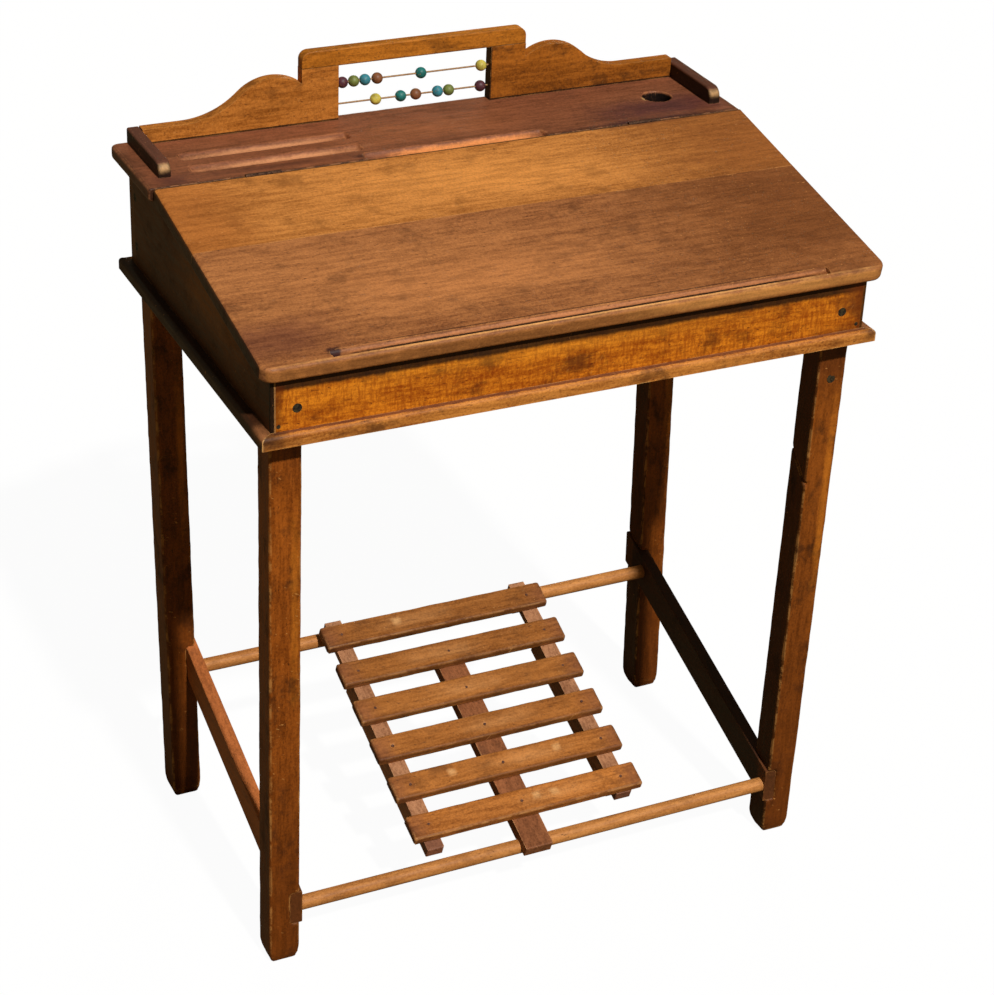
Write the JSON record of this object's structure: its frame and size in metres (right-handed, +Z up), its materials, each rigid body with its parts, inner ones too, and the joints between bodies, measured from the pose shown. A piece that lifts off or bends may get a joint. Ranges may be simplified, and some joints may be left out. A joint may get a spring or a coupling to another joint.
{
  "type": "school desk",
  "caption": "Child's school desk with a hinged sloping lid over a shallow case, a grooved till board with an inkwell hole, a scrolled gallery with a counting frame and a slatted footrest.",
  "frame": {"origin": "on the floor under the middle of the desk", "axes": "+X to the pupil's right along the lid, +Y away from the pupil, +Z up"},
  "size_m": [0.6378, 0.4113, 0.809],
  "materials": {
    "case_wood": "worn golden-brown oil and varnish",
    "lid_wood": "worn satin varnish, hand-darkened",
    "till_wood": "reddish brown, ink-stained",
    "leg_wood": "dark orange-brown varnish with scuffs",
    "footrest_wood": "worn tan-orange varnish",
    "dowel_wood": "light tan, worn",
    "inner_wood": "dull unfinished",
    "iron": "dark, rusted",
    "wire": "dull, browned",
    "brass": "tarnished",
    "purple_paint": "worn paint on turned wood",
    "green_paint": "worn paint on turned wood",
    "blue_paint": "worn paint on turned wood",
    "brown_paint": "worn paint on turned wood",
    "teal_paint": "worn paint on turned wood",
    "yellow_paint": "worn paint on turned wood"
  },
  "bodies": {
    "desk": {"apron_nails": "iron", "back_board": "case_wood", "bottom_board": "inner_wood", "case_screws": "iron", "front_apron": "case_wood", "front_dowel": "dowel_wood", "front_left_leg": "leg_wood", "front_moulding": "case_wood", "front_right_leg": "leg_wood", "gallery_cap_rail": "case_wood", "gallery_left_scroll": "case_wood", "gallery_right_scroll": "case_wood", "hinge_pins": "brass", "left_end_rail": "till_wood", "left_hinge_case_leaf": "brass", "left_moulding": "case_wood", "left_side_board": "case_wood", "left_stretcher": "leg_wood", "lower_wire": "wire", "rear_dowel": "dowel_wood", "rear_left_leg": "leg_wood", "rear_moulding": "case_wood", "rear_right_leg": "leg_wood", "right_end_rail": "till_wood", "right_hinge_case_leaf": "brass", "right_moulding": "case_wood", "right_side_board": "case_wood", "right_stretcher": "leg_wood", "till_board": "till_wood", "till_screws": "iron", "upper_wire": "wire"},
    "lid": {"lid_upper_plank": "lid_wood", "lid_lower_plank": "lid_wood", "lid_left_cleat": "inner_wood", "lid_right_cleat": "inner_wood", "left_hinge_lid_leaf": "brass", "right_hinge_lid_leaf": "brass", "lid_screws": "iron"},
    "footrest": {"slat_1": "footrest_wood", "slat_2": "footrest_wood", "slat_3": "footrest_wood", "slat_4": "footrest_wood", "slat_5": "footrest_wood", "slat_6": "footrest_wood", "left_batten": "footrest_wood", "centre_batten": "footrest_wood", "right_batten": "footrest_wood", "slat_nails": "iron"},
    "upper_purple_bead": {"upper_purple_bead": "purple_paint"},
    "upper_green_bead": {"upper_green_bead": "green_paint"},
    "upper_blue_bead": {"upper_blue_bead": "blue_paint"},
    "upper_brown_bead": {"upper_brown_bead": "brown_paint"},
    "upper_teal_bead": {"upper_teal_bead": "teal_paint"},
    "upper_yellow_bead": {"upper_yellow_bead": "yellow_paint"},
    "lower_yellow_bead": {"lower_yellow_bead": "yellow_paint"},
    "lower_teal_bead": {"lower_teal_bead": "teal_paint"},
    "lower_brown_bead": {"lower_brown_bead": "brown_paint"},
    "lower_blue_bead": {"lower_blue_bead": "blue_paint"},
    "lower_green_bead": {"lower_green_bead": "green_paint"},
    "lower_purple_bead": {"lower_purple_bead": "purple_paint"}
  },
  "joints": [
    {"name": "lid_hinge", "type": "hinge", "parent": "desk", "child": "lid", "pos_m": [0, 0.0844, 0.735], "axis": [-1, 0, 0], "range_deg": [0, 155]},
    {"name": "footrest_hinge", "type": "hinge", "parent": "desk", "child": "footrest", "pos_m": [0, 0.122, 0.166], "axis": [-1, 0, 0], "range_deg": [0, 110]},
    {"name": "upper_purple_slide", "type": "slide", "parent": "desk", "child": "upper_purple_bead", "axis": [1, 0, 0], "range_m": [-0.0003, 0.018]},
    {"name": "upper_green_slide", "type": "slide", "parent": "desk", "child": "upper_green_bead", "axis": [1, 0, 0], "range_m": [-0.0003, 0.018]},
    {"name": "upper_blue_slide", "type": "slide", "parent": "desk", "child": "upper_blue_bead", "axis": [1, 0, 0], "range_m": [-0.0003, 0.018]},
    {"name": "upper_brown_slide", "type": "slide", "parent": "desk", "child": "upper_brown_bead", "axis": [1, 0, 0], "range_m": [-0.0003, 0.018]},
    {"name": "upper_teal_slide", "type": "slide", "parent": "desk", "child": "upper_teal_bead", "axis": [1, 0, 0], "range_m": [-0.018, 0.0275]},
    {"name": "upper_yellow_slide", "type": "slide", "parent": "desk", "child": "upper_yellow_bead", "axis": [1, 0, 0], "range_m": [-0.0275, 0.0024]},
    {"name": "lower_yellow_slide", "type": "slide", "parent": "desk", "child": "lower_yellow_bead", "axis": [1, 0, 0], "range_m": [-0.0365, 0.0078]},
    {"name": "lower_teal_slide", "type": "slide", "parent": "desk", "child": "lower_teal_bead", "axis": [1, 0, 0], "range_m": [-0.0078, 0.0024]},
    {"name": "lower_brown_slide", "type": "slide", "parent": "desk", "child": "lower_brown_bead", "axis": [1, 0, 0], "range_m": [-0.0024, 0.0061]},
    {"name": "lower_blue_slide", "type": "slide", "parent": "desk", "child": "lower_blue_bead", "axis": [1, 0, 0], "range_m": [-0.0061, 0.0118]},
    {"name": "lower_green_slide", "type": "slide", "parent": "desk", "child": "lower_green_bead", "axis": [1, 0, 0], "range_m": [-0.0061, 0.0118]},
    {"name": "lower_purple_slide", "type": "slide", "parent": "desk", "child": "lower_purple_bead", "axis": [1, 0, 0], "range_m": [-0.0118, 0.0025]}
  ],
  "couplings": [
    {"joint": "upper_purple_slide", "follows": "upper_brown_slide", "ratio": 1},
    {"joint": "upper_green_slide", "follows": "upper_brown_slide", "ratio": 1},
    {"joint": "upper_blue_slide", "follows": "upper_brown_slide", "ratio": 1},
    {"joint": "lower_blue_slide", "follows": "lower_green_slide", "ratio": 1}
  ]
}
